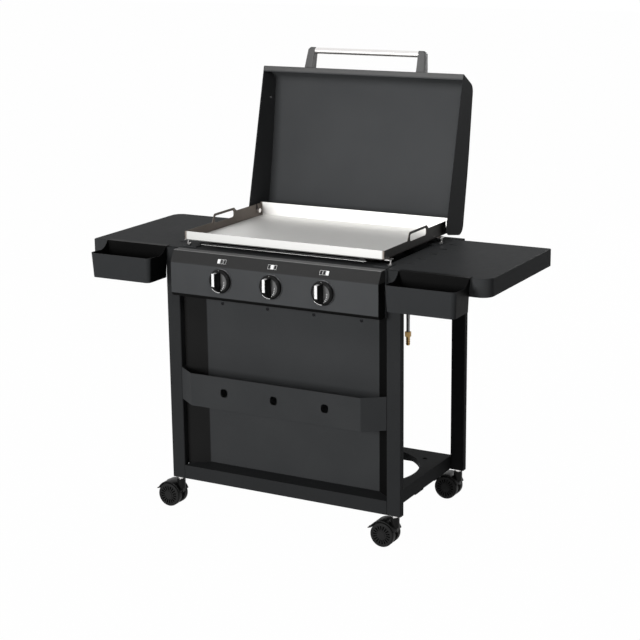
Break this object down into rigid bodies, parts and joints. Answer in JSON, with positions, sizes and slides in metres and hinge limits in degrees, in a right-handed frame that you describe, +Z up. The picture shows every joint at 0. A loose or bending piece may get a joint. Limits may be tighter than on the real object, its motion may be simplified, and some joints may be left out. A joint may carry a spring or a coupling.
{
  "type": "outdoor gas griddle station",
  "caption": "Gas griddle cart with a folded steel pan under a lift-up lid, turn knobs, side shelves, hanging bins, a front rack, a bottle tray and braked casters",
  "frame": {"origin": "on the floor under the middle of the whole station's box, shelves, bins and open lid included", "axes": "+X to the user's right hand, +Y from the knobs to the back, +Z up"},
  "size_m": [1.172, 0.6183, 1.2307],
  "materials": {
    "black_coat": "fine matt powder coat",
    "polished_steel": "bright polished stainless",
    "bright_steel": "bright zinc and stainless",
    "pipe_steel": "plain steel",
    "burner_steel": "heat-dulled stainless",
    "black_plastic": "moulded black",
    "dark_bracket": "moulded dark grey",
    "dark_screws": "blackened",
    "cast_alloy": "cast",
    "brass": "machined",
    "ceramic": "glazed ceramic"
  },
  "bodies": {
    "cart": {"post_front_left": "black_coat", "post_front_right": "black_coat", "post_back_left": "black_coat", "post_back_right": "black_coat", "base_tray": "black_coat", "bottle_strap": "black_coat", "cover_panel": "black_coat", "cover_screws": "dark_screws", "front_rack": "black_coat", "burner_box": "black_coat", "rear_rail": "black_coat", "control_panel": "black_coat", "knob_bezels": "black_plastic", "gas_valves": "cast_alloy", "manifold": "pipe_steel", "supply_pipe": "pipe_steel", "gas_inlet": "brass", "burners": "burner_steel", "igniters": "ceramic", "support_plates": "black_coat", "levelling_studs": "bright_steel", "shelf_right": "black_coat", "shelf_left": "black_coat", "caster_stems": "bright_steel", "post_plugs": "black_plastic"},
    "griddle": {"griddle_pan": "polished_steel", "pan_stiffener": "bright_steel", "pan_tabs": "bright_steel"},
    "lid": {"lid_shell": "black_coat", "lid_side_left": "black_coat", "lid_side_right": "black_coat", "lid_pins": "bright_steel", "lid_screws": "bright_steel", "lid_handle_brackets": "dark_bracket", "lid_handle_tube": "bright_steel"},
    "bin_left_tub": {"bin_left": "black_coat"},
    "bin_right_tub": {"bin_right": "black_coat"},
    "valve_spindle_left": {"spindle_left": "pipe_steel"},
    "control_knob_left": {"knob_left": "black_plastic"},
    "valve_spindle_middle": {"spindle_middle": "pipe_steel"},
    "control_knob_middle": {"knob_middle": "black_plastic"},
    "valve_spindle_right": {"spindle_right": "pipe_steel"},
    "control_knob_right": {"knob_right": "black_plastic"},
    "swivel_front_left": {"caster_housing_front_left": "black_plastic"},
    "wheels_front_left": {"caster_wheels_front_left": "black_plastic"},
    "pedal_front_left": {"brake_pedal_front_left": "black_plastic"},
    "swivel_front_right": {"caster_housing_front_right": "black_plastic"},
    "wheels_front_right": {"caster_wheels_front_right": "black_plastic"},
    "pedal_front_right": {"brake_pedal_front_right": "black_plastic"},
    "swivel_back_left": {"caster_housing_back_left": "black_plastic"},
    "wheels_back_left": {"caster_wheels_back_left": "black_plastic"},
    "pedal_back_left": {"brake_pedal_back_left": "black_plastic"},
    "swivel_back_right": {"caster_housing_back_right": "black_plastic"},
    "wheels_back_right": {"caster_wheels_back_right": "black_plastic"},
    "pedal_back_right": {"brake_pedal_back_right": "black_plastic"}
  },
  "joints": [
    {"name": "griddle_lift", "type": "slide", "parent": "cart", "child": "griddle", "axis": [0, 0, 1], "range_m": [0, 0.06]},
    {"name": "lid_hinge", "type": "hinge", "parent": "griddle", "child": "lid", "pos_m": [0, 0.16885, 0.773], "axis": [-1, 0, 0], "range_deg": [-104, 0]},
    {"name": "bin_left_lift", "type": "slide", "parent": "cart", "child": "bin_left_tub", "axis": [0, 0, 1], "range_m": [0, 0.03]},
    {"name": "bin_right_lift", "type": "slide", "parent": "cart", "child": "bin_right_tub", "axis": [0, 0, 1], "range_m": [0, 0.03]},
    {"name": "knob_left_push", "type": "slide", "parent": "cart", "child": "valve_spindle_left", "axis": [0, 1, 0], "range_m": [0, 0.003], "stiffness_N_per_m": 2000},
    {"name": "knob_left_turn", "type": "hinge", "parent": "valve_spindle_left", "child": "control_knob_left", "pos_m": [-0.152, -0.28215, 0.668], "axis": [0, -1, 0], "range_deg": [0, 180]},
    {"name": "knob_middle_push", "type": "slide", "parent": "cart", "child": "valve_spindle_middle", "axis": [0, 1, 0], "range_m": [0, 0.003], "stiffness_N_per_m": 2000},
    {"name": "knob_middle_turn", "type": "hinge", "parent": "valve_spindle_middle", "child": "control_knob_middle", "pos_m": [0, -0.28215, 0.668], "axis": [0, -1, 0], "range_deg": [0, 180]},
    {"name": "knob_right_push", "type": "slide", "parent": "cart", "child": "valve_spindle_right", "axis": [0, 1, 0], "range_m": [0, 0.003], "stiffness_N_per_m": 2000},
    {"name": "knob_right_turn", "type": "hinge", "parent": "valve_spindle_right", "child": "control_knob_right", "pos_m": [0.152, -0.28215, 0.668], "axis": [0, -1, 0], "range_deg": [0, 180]},
    {"name": "caster_front_left_swivel", "type": "hinge", "parent": "cart", "child": "swivel_front_left", "pos_m": [-0.33, -0.21115, 0.085], "axis": [0, 0, 1], "continuous": true},
    {"name": "caster_front_left_roll", "type": "hinge", "parent": "swivel_front_left", "child": "wheels_front_left", "pos_m": [-0.358, -0.21115, 0.033], "axis": [0, 1, 0], "continuous": true},
    {"name": "brake_front_left_press", "type": "hinge", "parent": "swivel_front_left", "child": "pedal_front_left", "pos_m": [-0.385, -0.21115, 0.047], "axis": [0, -1, 0], "range_deg": [0, 20]},
    {"name": "caster_front_right_swivel", "type": "hinge", "parent": "cart", "child": "swivel_front_right", "pos_m": [0.33, -0.21115, 0.085], "axis": [0, 0, 1], "continuous": true},
    {"name": "caster_front_right_roll", "type": "hinge", "parent": "swivel_front_right", "child": "wheels_front_right", "pos_m": [0.302, -0.21115, 0.033], "axis": [0, 1, 0], "continuous": true},
    {"name": "brake_front_right_press", "type": "hinge", "parent": "swivel_front_right", "child": "pedal_front_right", "pos_m": [0.275, -0.21115, 0.047], "axis": [0, -1, 0], "range_deg": [0, 20]},
    {"name": "caster_back_left_swivel", "type": "hinge", "parent": "cart", "child": "swivel_back_left", "pos_m": [-0.33, 0.18885, 0.085], "axis": [0, 0, 1], "continuous": true},
    {"name": "caster_back_left_roll", "type": "hinge", "parent": "swivel_back_left", "child": "wheels_back_left", "pos_m": [-0.358, 0.18885, 0.033], "axis": [0, 1, 0], "continuous": true},
    {"name": "brake_back_left_press", "type": "hinge", "parent": "swivel_back_left", "child": "pedal_back_left", "pos_m": [-0.385, 0.18885, 0.047], "axis": [0, -1, 0], "range_deg": [0, 20]},
    {"name": "caster_back_right_swivel", "type": "hinge", "parent": "cart", "child": "swivel_back_right", "pos_m": [0.33, 0.18885, 0.085], "axis": [0, 0, 1], "continuous": true},
    {"name": "caster_back_right_roll", "type": "hinge", "parent": "swivel_back_right", "child": "wheels_back_right", "pos_m": [0.302, 0.18885, 0.033], "axis": [0, 1, 0], "continuous": true},
    {"name": "brake_back_right_press", "type": "hinge", "parent": "swivel_back_right", "child": "pedal_back_right", "pos_m": [0.275, 0.18885, 0.047], "axis": [0, -1, 0], "range_deg": [0, 20]}
  ]
}
